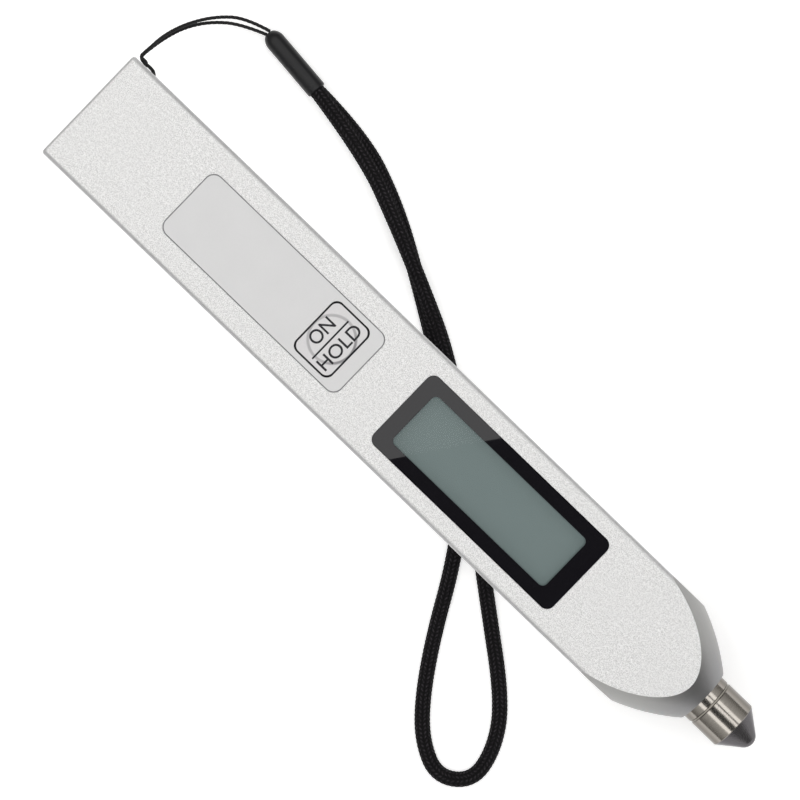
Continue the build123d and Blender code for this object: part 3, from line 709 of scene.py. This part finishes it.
def legend(name, word, centre_x, centre_y, width, height):
    """A printed word on the key, reading across the meter with its top to the rear."""
    curve = bpy.data.curves.new(name, "FONT")
    curve.body = word
    curve.extrude = 0.02
    curve.offset = STROKE_GROWTH
    curve.align_x = "CENTER"
    drawn = bpy.data.objects.new(name, curve)
    bpy.context.scene.collection.objects.link(drawn)
    bpy.context.view_layer.update()
    mesh = bpy.data.meshes.new_from_object(drawn)
    bpy.data.objects.remove(drawn)
    corners = [vertex.co for vertex in mesh.vertices]
    low = Vector([min(co[axis] for co in corners) for axis in range(3)])
    high = Vector([max(co[axis] for co in corners) for axis in range(3)])
    middle = (low + high) / 2
    size = high - low
    scales = (width * MM / size.x, height * MM / size.y, LEGEND_DEPTH * MM / size.z, 1.0)
    grow = Matrix.Diagonal(scales)
    turn = Matrix.Rotation(math.radians(90), 4, "Z")
    place = Matrix.Translation((REAR + centre_x * MM, centre_y * MM, TOP))
    mesh.transform(place @ turn @ grow @ Matrix.Translation(-middle))
    piece = bpy.data.objects.new(name, mesh)
    bpy.context.scene.collection.objects.link(piece)
    piece.data.materials.append(KEY_INK)
    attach(piece, "key")


def ink():
    """Dense black screen ink."""
    finish = Finish("key_ink", Specular_IOR_Level=0.3)
    tooth = finish.noise(0.12, 2.0)
    colour = tooth.between(colour_of(0.012, 0.011, 0.015), colour_of(0.028, 0.026, 0.032))
    return finish.wear(Base_Color=colour, Roughness=0.45 + tooth * 0.2)


KEY_INK = ink()
legend("legend_on", "ON", 53.13, -0.21, 4.7, 2.35)
legend("legend_hold", "HOLD", 57.06, -0.06, 8.85, 2.3)


# ------------------------------------------------------------------ sleeve on the strap
SLEEVE_REAR = (11.6, 29.25)
SLEEVE_FRONT = (24.2, 27.98)
SLEEVE_RADIUS = 1.7
SLEEVE_FLAT = 1.6
DOME_BEVEL = 1.45
DOME_STRETCH = 1.4
FRONT_BEVEL = 0.28


def moulded_sleeve():
    """The black sleeve: a domed rear end, a broken front edge and a flat along its top."""
    rear = Vector((REAR + SLEEVE_REAR[0] * MM, SLEEVE_REAR[1] * MM, SLEEVE_LEVEL * MM))
    front = Vector((REAR + SLEEVE_FRONT[0] * MM, SLEEVE_FRONT[1] * MM, SLEEVE_LEVEL * MM))
    length = (front - rear).length
    work = bmesh.new()
    bmesh.ops.create_cone(work, cap_ends=True, segments=64, radius1=SLEEVE_RADIUS * MM,
                          radius2=SLEEVE_RADIUS * MM, depth=length)
    for end, width, steps in ((-1, DOME_BEVEL, 9), (1, FRONT_BEVEL, 3)):
        rim = [
            edge for edge in work.edges
            if all(vertex.co.z * end > length * 0.49 for vertex in edge.verts)
        ]
        bmesh.ops.bevel(work, geom=rim, offset=width * MM, affect="EDGES", segments=steps,
                        profile=0.5, material=-1)
    for vertex in work.verts:
        from_rear = vertex.co.z + length / 2
        if from_rear < (DOME_BEVEL + 0.01) * MM:
            vertex.co.z = from_rear * DOME_STRETCH - length / 2
        elif vertex.co.x > SLEEVE_FLAT * MM:
            vertex.co.x = SLEEVE_FLAT * MM
    lay_down = Matrix.Rotation(math.radians(90), 4, "Y") @ Matrix.Rotation(math.pi, 4, "Z")
    heading = math.atan2(front.y - rear.y, front.x - rear.x)
    point_forward = Matrix.Rotation(heading, 4, "Z")
    place = Matrix.Translation((rear + front) / 2) @ point_forward @ lay_down
    bmesh.ops.transform(work, verts=work.verts, matrix=place)
    bmesh.ops.recalc_face_normals(work, faces=work.faces)
    sleeve = finished("moulded_sleeve", work)
    black = moulded("sleeve_moulding", (0.0045, 0.0045, 0.0058), 0.29, grain=0.22,
                    Specular_IOR_Level=0.32)
    sleeve.data.materials.append(black)
    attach(sleeve, "body")
    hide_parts("strap_sleeve")


moulded_sleeve()


# ------------------------------------------------------------------ finishes on the CAD pieces
# The braid and string finishes go on the plain tubes that the strap and string replace.
SLOT_FINISHES = {
    "case_aluminium": blasted_aluminium(),
    "probe_steel": turned_steel(),
    "black_plastic": moulded("black_plastic_moulding", (0.012, 0.012, 0.013), 0.42),
    "grey_plastic": moulded("grey_plastic_moulding", (0.09, 0.095, 0.1), 0.5),
    "natural_plastic": moulded("natural_acetal", (0.72, 0.69, 0.6), 0.4),
    "label_film": printed_film(),
    "key_film": printed_key(),
    "window": window_glass(),
    "window_print": border_print(),
    "display_cell": display_cell(),
    "reflector_sheet": moulded("reflector_sheet_white", (0.7, 0.72, 0.69), 0.6),
    "foam": moulded("gasket_foam", (0.012, 0.012, 0.012), 0.85, grain=0.3, depth=0.08),
    "connector_rubber": moulded("connector_silicone", (0.6, 0.42, 0.42), 0.6),
    "seal_rubber": moulded("seal_nitrile", (0.01, 0.01, 0.01), 0.5),
    "board": solder_mask(),
    "chip": moulded("chip_epoxy", (0.012, 0.012, 0.012), 0.55),
    "bright_metal": nickel("nickel_plate"),
    "red_wire": moulded("red_insulation", (0.5, 0.02, 0.015), 0.4),
    "black_wire": moulded("black_insulation", (0.012, 0.012, 0.012), 0.4),
    "string": KEY_INK,
    "braid": KEY_INK,
}
PIECE_FINISHES = {
    "rear_cap": cap_aluminium(),
    "insulating_ring": moulded("ring_polymer", (0.42, 0.39, 0.34), 0.4),
    "button_cell_1": nickel("cell_steel", 0.68),
}
PIECE_FINISHES["button_cell_2"] = PIECE_FINISHES["button_cell_1"]
for name, node in NODES.items():
    slot = node.data.materials[0].name
    node.data.materials[0] = PIECE_FINISHES.get(name, SLOT_FINISHES[slot.split(".")[0]])


# ------------------------------------------------------------------ floor and light
FLOOR_GLOW = 0.54
SOFTBOX_POWER = 23.2
SOFTBOX_SIZE = 2.4
LAMP_HEIGHT = 1.5
CARD_CORNER = (0.0368, -0.0283, 1.49)
CARD_TURN = math.radians(-35.2176)
BAR_HEIGHT = 1.46
BAR_REACH = 1.2
BAR_NEAR = 0.44
BAR_FAR = 0.62


def plain_floor():
    """A pale table with a little light of its own, as on a light table."""
    work = bmesh.new()
    bmesh.ops.create_grid(work, x_segments=1, y_segments=1, size=3.0)
    bmesh.ops.translate(work, verts=work.verts, vec=(0, 0, FLOOR))
    table = finished("table_top", work, smooth=False)
    finish = Finish("table_paint", Emission_Strength=FLOOR_GLOW)
    cloud = finish.noise(400.0, 1.0)
    colour = cloud.between(grey(0.84), grey(0.86))
    roughness = 0.9 - cloud * 0.1
    paint = finish.wear(Base_Color=colour, Emission_Color=colour, Roughness=roughness)
    table.data.materials.append(paint)


def softbox():
    """A large square soft light straight above, facing down."""
    light = bpy.data.lights.new("overhead_softbox", "AREA")
    light.shape = "SQUARE"
    light.size = SOFTBOX_SIZE
    light.energy = SOFTBOX_POWER
    source = bpy.data.objects.new("overhead_softbox", light)
    bpy.context.scene.collection.objects.link(source)
    source.location = (0, 0, LAMP_HEIGHT)


def felt_card(name, work, low, high):
    """A dark card in the studio, with felt between the two greys low and high."""
    card = finished(name, work, smooth=False)
    finish = Finish(name + "_felt", Roughness=0.95)
    felt = finish.noise(20.0, 1.0).between(grey(low), grey(high))
    card.data.materials.append(finish.wear(Base_Color=felt))


def black_card():
    """A card over the meter's front half, whose edge shows in the window."""
    work = bmesh.new()
    bmesh.ops.create_grid(work, x_segments=1, y_segments=1, size=0.3)
    bmesh.ops.translate(work, verts=work.verts, vec=(0.3, 0, 0))
    turn = Matrix.Rotation(CARD_TURN, 4, "Z")
    place = Matrix.Translation(CARD_CORNER)
    bmesh.ops.transform(work, verts=work.verts, matrix=place @ turn)
    felt_card("black_card", work, 0.012, 0.02)


def flag(name, corners, tone):
    """A card that shows as a dark band in the polished metal."""
    work = bmesh.new()
    work.faces.new([work.verts.new(corner) for corner in corners])
    felt_card(name, work, tone, tone * 1.5)


def studio():
    """A room that is darker low down, the soft light and the cards round it."""
    world = bpy.data.worlds.new("studio")
    bpy.context.scene.world = world
    world.use_nodes = True
    backdrop = world.node_tree.nodes["Background"]
    room = Shade(world.node_tree, 0.0)
    upward = room.node("ShaderNodeTexCoord").parts()[2]
    walls = upward.ramp(-0.1, 0.85)
    room_light = walls.between(colour_of(0.2, 0.195, 0.185), colour_of(0.63, 0.622, 0.607))
    world.node_tree.links.new(room_light.value, backdrop.inputs["Color"])
    backdrop.inputs["Strength"].default_value = 1.0
    softbox()
    for side in (-1, 1):
        ends = [(-BAR_REACH, BAR_NEAR), (BAR_REACH, BAR_NEAR), (BAR_REACH, BAR_FAR),
                (-BAR_REACH, BAR_FAR)]
        flag("light_bar", [(x, y * side, BAR_HEIGHT) for x, y in ends], 0.03)
    foot = [(1.15, -0.55, 0.2), (1.15, 0.55, 0.2)]
    head = [(0.9, 0.45, 1.05), (0.9, -0.45, 1.05)]
    flag("front_flag", foot + head, 0.012)


bpy.context.scene.view_settings.view_transform = "Standard"
plain_floor()
black_card()
studio()
